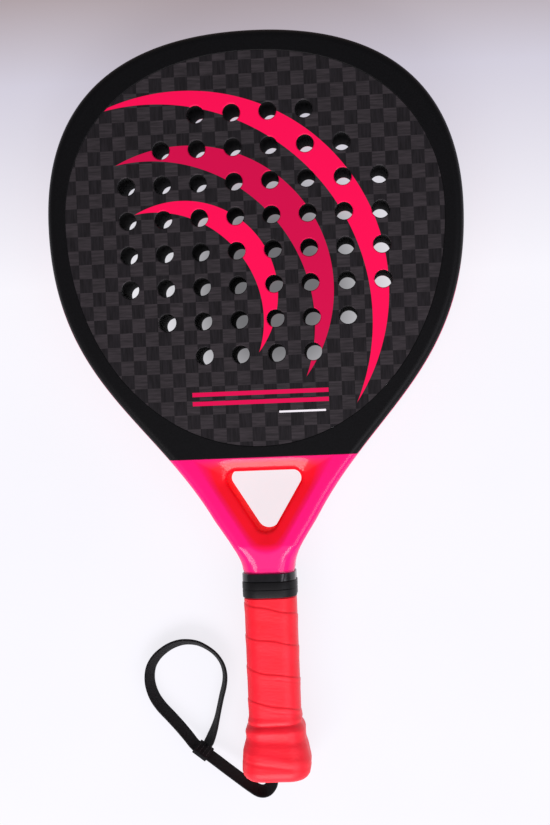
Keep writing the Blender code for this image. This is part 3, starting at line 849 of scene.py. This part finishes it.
def woven_polyester():
    """Black polyester webbing: ribs across it, a chevron of warp threads, stitched edges."""
    made = new_material("woven_polyester")
    place = add(made, "UVMap", uv_map="webbing")
    axes = add(made, "SeparateXYZ", links={"Vector": (place, "UV")})
    side = add(made, "Math", links={0: (axes, "X")}, operation="ABSOLUTE")
    slant = add(made, "Math", {1: 0.5}, {0: (side, "Value"), 2: (axes, "Y")},
                operation="MULTIPLY_ADD")
    rib = add(made, "Math", {1: 2 * pi / STRAP_RIB}, {0: (slant, "Value")},
              operation="MULTIPLY")
    rise = add(made, "Math", links={0: (rib, "Value")}, operation="SINE")
    warp = add(made, "Math", {1: 2 * pi / STRAP_WARP}, {0: (axes, "X")},
               operation="MULTIPLY")
    threads = add(made, "Math", links={0: (warp, "Value")}, operation="SINE")
    height = add(made, "Math", links={0: (rise, "Value"), 1: (threads, "Value")},
                 operation="MULTIPLY")
    half = add(made, "MapRange", {"From Min": -1.0, "From Max": 1.0},
               {"Value": (height, "Value")})
    colour = add(made, "ValToRGB", links={"Fac": (half, "Result")},
                 stops=((0.0, "#020203"), (1.0, "#0b0c0f")))
    bump = add(made, "Bump", {"Strength": 0.8, "Distance": 0.25 * MM},
               {"Height": (half, "Result")})
    shade(made, {"Roughness": 0.7, "Specular IOR Level": 0.2},
          {"Base Color": (colour, "Color"), "Normal": (bump, "Normal")})
    return made


polyester = woven_polyester()
whole = along(STRAP_ROUTE + RETURN_ROUTE[1:], ROUTE_STEPS)
join = (len(STRAP_ROUTE) - 1) * ROUTE_STEPS
standing = whole[:join + 1]
returning = whole[join:]


strap = webbing("wrist_strap_webbing", standing, SECTION, STRAP_WIDTH, STRAP_THICK, polyester)
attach(strap, "racket")
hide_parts("wrist_strap")
limb = webbing("wrist_strap_return_webbing", returning, SECTION, STRAP_WIDTH, STRAP_THICK,
               polyester)
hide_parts("wrist_strap_return")


# ---- Strap keeper ------------------------------------------------------------------------
# The strap's end, doubled back round the standing part and sewn down as a tight loop that
# slides along it.

KEEPER_AT = Vector(STRAP_ROUTE[10][:3])
KEEPER_AXIS = Vector((0.797628, -0.596424, 0.089823))
KEEPER_LENGTH = 10.0
KEEPER_CLEAR = 0.2
KEEPER_WALL = 0.9
KEEPER_CORNER = 0.35
KEEPER_BEVEL = (0.35, 0.25)


def keeper_loop():
    """The keeper's body: rings of a rounded oblong, joined and then closed inside."""
    heading = -KEEPER_AXIS
    across, normal = webbing_axes(heading, STRAP_ROUTE[10][3])
    inside = (STRAP_WIDTH / 2 + KEEPER_CLEAR, STRAP_THICK / 2 + KEEPER_CLEAR)
    steps, wall, half = 6, KEEPER_WALL, KEEPER_LENGTH / 2
    rings = []
    along_by, out_by = KEEPER_BEVEL
    profile = [(-half, 0.0), (-half, 1.0 - out_by), (-half + along_by, 1.0),
               (half - along_by, 1.0), (half, 1.0 - out_by), (half, 0.0)]
    for place, out in profile:
        ring = []
        for quarter in range(4):
            sign_u = 1 if quarter in (0, 3) else -1
            sign_v = 1 if quarter in (0, 1) else -1
            for step in range(steps + 1):
                turn = (quarter + step / steps) * pi / 2
                round_by = KEEPER_CORNER + out * wall
                u = sign_u * (inside[0] - KEEPER_CORNER) + round_by * cos(turn)
                v = sign_v * (inside[1] - KEEPER_CORNER) + round_by * sin(turn)
                ring.append(KEEPER_AT + heading * place + across * u + normal * v)
        rings.append(ring)
    looped = bmesh.new()
    uv = looped.loops.layers.uv.new("webbing")
    drawn = [[looped.verts.new(point * MM) for point in ring] for ring in rings]
    girth = [0.0]
    for a, b in zip(rings[2], rings[2][1:] + rings[2][:1]):
        girth.append(girth[-1] + (b - a).length)
    places = [place for place, out in profile]
    for k in range(len(drawn)):
        here, following = drawn[k], drawn[(k + 1) % len(drawn)]
        for i in range(len(here)):
            j = (i + 1) % len(here)
            face = looped.faces.new((here[i], here[j], following[j], following[i]))
            corners = ((places[k], girth[i]), (places[k], girth[i + 1]),
                       (places[(k + 1) % len(drawn)], girth[i + 1]),
                       (places[(k + 1) % len(drawn)], girth[i]))
            for loop, corner in zip(face.loops, corners):
                loop[uv].uv = corner
    bmesh.ops.recalc_face_normals(looped, faces=looped.faces)
    return finished(built(looped, "keeper"), "strap_keeper_loop", polyester, 40)


STITCH_LENGTH = 1.8
STITCH_THICK = 0.32
STITCHED = (-3.6, -1.2, 1.2, 3.6)


def bar_tack():
    """Stitches through the keeper's two layers, in rows across it on both sides."""
    heading = -KEEPER_AXIS
    across, normal = webbing_axes(heading, STRAP_ROUTE[10][3])
    off = STRAP_THICK / 2 + KEEPER_CLEAR + KEEPER_WALL
    turned = Matrix((across, heading, normal)).transposed().to_4x4()
    bpy.ops.mesh.primitive_uv_sphere_add(segments=8, ring_count=6, radius=0.5 * MM)
    stitch = bpy.context.object
    stitch.scale = (STITCH_LENGTH, STITCH_THICK, STITCH_THICK)
    bpy.ops.object.transform_apply(location=True, rotation=True, scale=True)
    places = [KEEPER_AT + across * column + heading * row + normal * side * off
              for row in STITCHED for column in STITCHED for side in (-1, 1)]
    return stamped(stitch, [Matrix.Translation(place * MM) @ turned for place in places])


def sewing_thread():
    """Bonded nylon thread: charcoal, with a faint twist and a soft shine."""
    made = new_material("sewing_thread")
    place = add(made, "TexCoord")
    twist = add(made, "TexWave", {"Scale": 1 / (3 * MM)},
                {"Vector": (place, "Object")}, bands_direction="DIAGONAL")
    colour = add(made, "ValToRGB", links={"Fac": (twist, "Fac")},
                 stops=((0.0, "#1a1a1d"), (1.0, "#2e2e32")))
    shade(made, {"Roughness": 0.45}, {"Base Color": (colour, "Color")})
    return made


tack = bar_tack()
finished(tack, "keeper_bar_tack", sewing_thread(), 60)
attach(tack, "keeper")
keeper = keeper_loop()
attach(keeper, "keeper")
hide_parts("strap_keeper")
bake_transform(limb)


# ---- Overgrip ----------------------------------------------------------------------------
# A thin, tacky polyurethane tape in coral, wound from the butt up with each turn lapping
# over the one below, so that every lap leaves a slanting ridge. It is stretched over the
# flare and folded in at the butt.

GRIP_TOP_Y = -103.3
GRIP_END_Y = -227.5
OVERGRIP_WALL = 1.2
GRIP_PROFILE = ((GRIP_TOP_Y, 15.2, 15.2), (-115.9, 15.2, 15.2), (-116.2, 15.8, 15.8),
                (-188, 15.8, 15.8), (-194, 17.2, 16.4), (-205, 19.1, 17.4),
                (-214, 20.7, 18.2), (-221, 20.9, 18.4))
GRIP_CORNER = 5.4
WRAP_PITCH = 19.5
WRAP_START = -122.0
LAP_RISE = 0.28
LAP_EDGE = 1.0
RING_POINTS = 240
RING_GAP = 0.45
FLARE_Y = GRIP_PROFILE[-1][0]
# The relief fades in below the collar and out towards the butt's edge.
FADE_IN = (116.2, 119)
FADE_OUT = (-222, -216)
# The laps are pulled flat between these heights, where the tape is stretched.
PULLED_FLAT = (-200, -191)
# The tape's turn over the butt's edge and into its mouth: height, half width, half depth.
RIM = ((-223.4, 20.3, 17.9), (-225.4, 18.9, 16.5), (-226.7, 17.1, 14.7), (-227.35, 15.3, 12.9),
       (GRIP_END_Y, 14.0, 11.6), (GRIP_END_Y, 12.5, 10.1), (-226.6, 12.3, 9.9),
       (-226.2, 12.6, 10.1), (-226.2, 15.0, 12.5), (-224.4, 17.7, 15.1))
# Folds where the tape is stretched over the flare: height, fall for each millimetre to the
# right, rise and width.
FOLDS = ((-192.8, 0.02, -0.7, 1.3), (-196.8, 0.0, 0.5, 2.0), (-202.5, -0.05, -0.5, 2.6),
         (-212.6, -0.2, 0.3, 2.4), (-217.2, -0.15, -0.22, 1.2))


def grip_size(y):
    """Half width and half depth of the grip at a height."""
    last = GRIP_PROFILE[0]
    for stop in GRIP_PROFILE[1:]:
        if y >= stop[0]:
            share = (y - last[0]) / (stop[0] - last[0])
            return (last[1] + (stop[1] - last[1]) * share,
                    last[2] + (stop[2] - last[2]) * share)
        last = stop
    return last[1:]


def grip_ring(half_x, half_z):
    """Evenly spaced places round a rounded rectangle, with the way out at each."""
    radius = min(half_z - GRIP_CORNER, half_x - 0.5)
    flat_x, flat_z = half_x - radius, half_z - radius
    turned = pi / 2 * radius
    runs = ((flat_z, (half_x, 0), pi / 2, 0), (turned, (flat_x, flat_z), None, 0),
            (2 * flat_x, (flat_x, half_z), pi, pi / 2), (turned, (-flat_x, flat_z), None, pi / 2),
            (2 * flat_z, (-half_x, flat_z), -pi / 2, pi), (turned, (-flat_x, -flat_z), None, pi),
            (2 * flat_x, (-flat_x, -half_z), 0, -pi / 2),
            (turned, (flat_x, -flat_z), None, -pi / 2), (flat_z, (half_x, -flat_z), pi / 2, 0))
    girth = sum(run[0] for run in runs)
    ring = []
    for i in range(RING_POINTS):
        left = girth * i / RING_POINTS
        for length, (x, z), heading, out in runs:
            if left <= length:
                break
            left -= length
        if heading is None:
            out += left / radius
            ring.append((x + radius * cos(out), z + radius * sin(out), cos(out), sin(out)))
        else:
            ring.append((x + left * cos(heading), z + left * sin(heading), cos(out), sin(out)))
    return ring


def tape_height(x, y, share):
    """How proud the tape stands, and how far through its lap a place is."""
    waver = 0.35 * sin(3.1 * x / 10 + y / 17) + 0.25 * sin(y / 5 + 9 * share)
    spiral = (y + waver - WRAP_START) / WRAP_PITCH - (share - 0.25)
    lap = spiral - floor(spiral)
    below = (1 - lap) * WRAP_PITCH
    proud = LAP_RISE * smoothstep(0, LAP_EDGE, below) * (1 - smoothstep(1, 9, below))
    proud -= 0.07 * exp(-(min(below, WRAP_PITCH - below) / 0.6) ** 2)
    # A second, shallower line runs beside some of the laps.
    beside = smoothstep(-150, -158, y) * (0.6 + 0.4 * sin(x / 6))
    proud -= 0.14 * beside * exp(-((below - 3.4) / 0.5) ** 2)
    kept = smoothstep(*PULLED_FLAT, y)
    proud *= kept
    lap = 0.5 + (lap - 0.5) * kept
    for height, fall, rise, width in FOLDS:
        proud += rise * exp(-((y - height - fall * x) / width) ** 2)
    return proud, lap


def ring_of(made, y, half_x, half_z, lap_layer, fade=0.0):
    """One ring of the grip's mesh, with the tape's own relief where it isn't faded out."""
    ring = []
    for i, (x, z, nx, nz) in enumerate(grip_ring(half_x, half_z)):
        proud, lap = tape_height(x, y, i / RING_POINTS) if fade else (0.0, 0.5)
        vert = made.verts.new(((x + nx * proud * fade) * MM, y * MM,
                               (HALF_THICK + z + nz * proud * fade) * MM))
        vert[lap_layer] = lap
        ring.append(vert)
    return ring


def closed_rings(made, rings, name):
    """A body from rings that follow each other round and back to the first."""
    for here, following in zip(rings, rings[1:] + rings[:1]):
        for i in range(len(here)):
            j = (i + 1) % len(here)
            made.faces.new((here[i], here[j], following[j], following[i]))
    bmesh.ops.recalc_face_normals(made, faces=made.faces)
    return built(made, name)


wrapped = bmesh.new()
lap_layer = wrapped.verts.layers.float.new("lap")
steps = int((GRIP_TOP_Y - FLARE_Y) / RING_GAP)
rings = []
for k in range(steps + 1):
    y = GRIP_TOP_Y + (FLARE_Y - GRIP_TOP_Y) * k / steps
    fade = smoothstep(*FADE_IN, -y) * smoothstep(*FADE_OUT, y)
    rings.append(ring_of(wrapped, y, *grip_size(y), lap_layer, fade))
under = [(y, half_x - OVERGRIP_WALL, half_z - OVERGRIP_WALL)
         for y, half_x, half_z in reversed(GRIP_PROFILE)]
rings += [ring_of(wrapped, y, half_x, half_z, lap_layer) for y, half_x, half_z in (*RIM, *under)]
wrap = closed_rings(wrapped, rings, "overgrip")


def tacky_tape():
    """Polyurethane film over felt: coral, with a soft sheen, fine creases and painted shade along
    the laps.
    """
    made = new_material("tacky_tape")
    place = add(made, "TexCoord")
    lap = add(made, "Attribute", attribute_name="lap")
    mottle = add(made, "TexNoise", {"Scale": 1 / (9 * MM), "Detail": 4.0},
                 {"Vector": (place, "Object")})
    base = add(made, "ValToRGB", links={"Fac": (mottle, "Fac")},
               stops=((0.3, "#f80624"), (0.7, "#ff122e")))
    # Painted shade: the tape is darkened in a thin line each side of every lap's edge, where the
    # crease lies in shade.
    shadow = add(made, "ValToRGB", links={"Fac": (lap, "Fac")},
                 stops=((0.0, "#e0707c"), (0.03, "#ffffff"), (0.93, "#ffffff"), (1.0, "#dc5a68")))
    colour = add(made, "Mix", {"Factor": 0.55}, {6: (base, "Color"), 7: (shadow, "Color")},
                 data_type="RGBA", blend_type="MULTIPLY")
    stretch = add(made, "Mapping", {"Scale": (0.3, 1, 1)},
                  {"Vector": (place, "Object")})
    grain = add(made, "TexNoise", {"Scale": 1 / (1.4 * MM), "Detail": 4.0,
                                             "Roughness": 0.6}, {"Vector": (stretch, "Vector")})
    bump = add(made, "Bump", {"Strength": 0.5, "Distance": 0.3 * MM},
               {"Height": (grain, "Fac")})
    shade(made, {"Roughness": 0.5, "Specular IOR Level": 0.45},
          {"Base Color": (colour, 2), "Normal": (bump, "Normal")})
    return made


finished(wrap, "wound_overgrip", tacky_tape(), 50)
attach(wrap, "racket")
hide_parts("overgrip")


# ---- Finishing tape and rubber collar ----------------------------------------------------
# A turn and a half of glossy vinyl tape holds the overgrip's upper end, and a soft rubber
# collar is rolled down over the end below it.

TAPE_Y = (-100.9, -105.9)
COLLAR_Y = (-105.95, -115.6)
BAND_INSIDE = 15.5
TAPE_OUTSIDE = 16.1
COLLAR_OUTSIDE = 16.6
TAPE_LAP = radians(60)
TAPE_SLANT = 0.02


def band(profile, name, lap=0.0):
    """A ring round the handle from (height, half width, proud) places, out and then in."""
    rolled = bmesh.new()
    rings = []
    for y, half, proud in profile:
        ring = []
        for x, z, nx, nz in grip_ring(half, half):
            past = (atan2(z, x) - lap + TAPE_SLANT * (y - TAPE_Y[1])) % (2 * pi)
            lift = proud * smoothstep(0, radians(2), past) * (1 - past / (2 * pi))
            ring.append(rolled.verts.new(((x + nx * lift) * MM, y * MM,
                                          (HALF_THICK + z + nz * lift) * MM)))
        rings.append(ring)
    return closed_rings(rolled, rings, name)


def vinyl_tape():
    """Plasticised vinyl tape: black and glossy, slightly rippled where it was stretched."""
    return patterned("vinyl_tape", "TexNoise", {"Scale": 1 / (4 * MM), "Detail": 2.0}, "Fac",
                     ((0.3, "#08080a"), (0.7, "#121215")), (0.25, 0.4), {"Roughness": 0.24})


def soft_rubber():
    """Moulded silicone rubber: black, satin, with a dusty fine grain."""
    return patterned("soft_rubber", "TexNoise", {"Scale": 1 / (0.8 * MM), "Detail": 3.0}, "Fac",
                     ((0.3, "#050506"), (0.7, "#0e0e10")), (0.2, 0.12),
                     {"Roughness": 0.5, "Specular IOR Level": 0.25})


high, low = TAPE_Y
tape = band([(high, BAND_INSIDE, 0), (high, TAPE_OUTSIDE - 0.25, 0.2),
             (high - 0.25, TAPE_OUTSIDE, 0.35), (high - 1.5, TAPE_OUTSIDE, 0.35),
             (low + 1.5, TAPE_OUTSIDE, 0.35), (low + 0.25, TAPE_OUTSIDE, 0.35),
             (low, TAPE_OUTSIDE - 0.25, 0.2), (low, BAND_INSIDE, 0)], "tape", TAPE_LAP)
finished(tape, "wound_finishing_tape", vinyl_tape(), 30)
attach(tape, "racket")
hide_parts("finishing_tape")

high, low = COLLAR_Y
collar = band([(high, BAND_INSIDE, 0), (high, COLLAR_OUTSIDE - 0.5, 0),
               (high - 0.2, COLLAR_OUTSIDE - 0.15, 0), (high - 0.6, COLLAR_OUTSIDE, 0),
               (high - 4.3, COLLAR_OUTSIDE, 0), (high - 4.7, COLLAR_OUTSIDE - 0.35, 0),
               (high - 5.1, COLLAR_OUTSIDE - 0.05, 0), (low + 0.6, COLLAR_OUTSIDE - 0.1, 0),
               (low + 0.2, COLLAR_OUTSIDE - 0.25, 0), (low, COLLAR_OUTSIDE - 0.6, 0),
               (low, BAND_INSIDE, 0)], "collar")
finished(collar, "rubber_collar_ring", soft_rubber(), 30)
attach(collar, "racket")
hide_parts("rubber_collar")


# ---- Floor, lights and camera ------------------------------------------------------------
# A plain white table lit from the handle's side by one large soft light, with a weaker one
# opposite, seen from straight above.

FLOOR_Z = -0.4
# The painted shadow under the head: its middle and how far it reaches across and along.
PAINTED_SHADE_AT = (8.5, 75)
PAINTED_SHADE_REACH = (85, 100)
bpy.ops.mesh.primitive_plane_add(size=24, location=(0, 0, FLOOR_Z * MM))
floor = bpy.context.object


def white_table():
    """Matte white laminate that glows a little, with a painted falloff darkening it towards the
    far end and a soft painted shadow where the head covers it.
    """
    made = new_material("white_table")
    place = add(made, "TexCoord")
    haze = add(made, "TexNoise", {"Scale": 6.0, "Detail": 2.0},
               {"Vector": (place, "Object")})
    colour = add(made, "ValToRGB", links={"Fac": (haze, "Fac")},
                 stops=((0.3, "#636468"), (0.7, "#696a6e")))
    axes = add(made, "SeparateXYZ", links={"Vector": (place, "Object")})
    # Painted falloff: the glow turns darker and browner towards the far end of the table, as if
    # the light fell off there.
    far = add(made, "MapRange", {"From Min": 80 * MM, "From Max": 280 * MM},
              {"Value": (axes, "Y")})
    glow_with_painted_falloff = add(made, "ValToRGB", links={"Fac": (far, "Result")},
               stops=((0.0, "#e8e7ec"), (0.65, "#c1bdca"), (1.0, "#8c7874")))
    # Painted shadow: the glow is dimmed round the middle of the head, seen through its holes, as
    # if the head shaded the table.
    painted_shadow_place = add(made, "Mapping",
                {"Location": (-PAINTED_SHADE_AT[0] / PAINTED_SHADE_REACH[0], -PAINTED_SHADE_AT[1] / PAINTED_SHADE_REACH[1], 0),
                 "Scale": (1 / (PAINTED_SHADE_REACH[0] * MM), 1 / (PAINTED_SHADE_REACH[1] * MM), 0)},
                {"Vector": (place, "Object")})
    away = add(made, "VectorMath", links={0: (painted_shadow_place, "Vector")}, operation="LENGTH")
    glow_dimmed_by_painted_shadow = add(made, "MapRange", {"From Min": 0.3, "To Min": 0.2},
              {"Value": (away, "Value")}, interpolation_type="SMOOTHSTEP")
    shade(made, {"Roughness": 0.8, "Specular IOR Level": 0.1},
          {"Base Color": (colour, "Color"), "Emission Color": (glow_with_painted_falloff, "Color"),
           "Emission Strength": (glow_dimmed_by_painted_shadow, "Result")})
    return made


finished(floor, "floor", white_table())


def lamp(name, place, aim, size, power, colour):
    bpy.ops.object.light_add(type="AREA", location=place)
    light = bpy.context.object
    light.name = name
    light.data.shape = "RECTANGLE"
    light.data.size, light.data.size_y = size
    light.data.energy = power
    light.data.color = linear(colour)[:3]
    light.rotation_euler = (Vector(aim) - Vector(place)).to_track_quat("-Z", "Y").to_euler()


lamp("window", (-0.35, -1.8, 1.5), (0, 0, 0), (2.2, 1.0), 60, "#fff8fb")
lamp("fill", (1.2, -0.9, 1.5), (0, -0.1, 0), (1.6, 1.2), 17, "#f7f4ff")
world = bpy.context.scene.world or bpy.data.worlds.new("studio")
bpy.context.scene.world = world
world.use_nodes = True
world.node_tree.nodes["Background"].inputs["Color"].default_value = linear("#e9e6ee")
world.node_tree.nodes["Background"].inputs["Strength"].default_value = 0.32

CAMERA_AT = Vector((0.0612, -0.0053, 0.8163))
CAMERA_AIM = Vector((0.00842, -0.00391, 0.038))
CAMERA_UP = Vector((0.03965, 0.99921, -0.00086))
CAMERA_LENS = 56.78
bpy.ops.object.camera_add(location=CAMERA_AT)
camera = bpy.context.object
facing = (CAMERA_AIM - CAMERA_AT).normalized()
rightward = facing.cross(CAMERA_UP).normalized()
upward = rightward.cross(facing)
camera.matrix_world = Matrix((rightward, upward, -facing)).transposed().to_4x4()
camera.location = CAMERA_AT
camera.data.sensor_fit = "VERTICAL"
camera.data.sensor_height = 36
camera.data.lens = CAMERA_LENS
camera.data.clip_start = 0.01
bpy.context.scene.camera = camera
bpy.context.scene.view_settings.view_transform = "Standard"
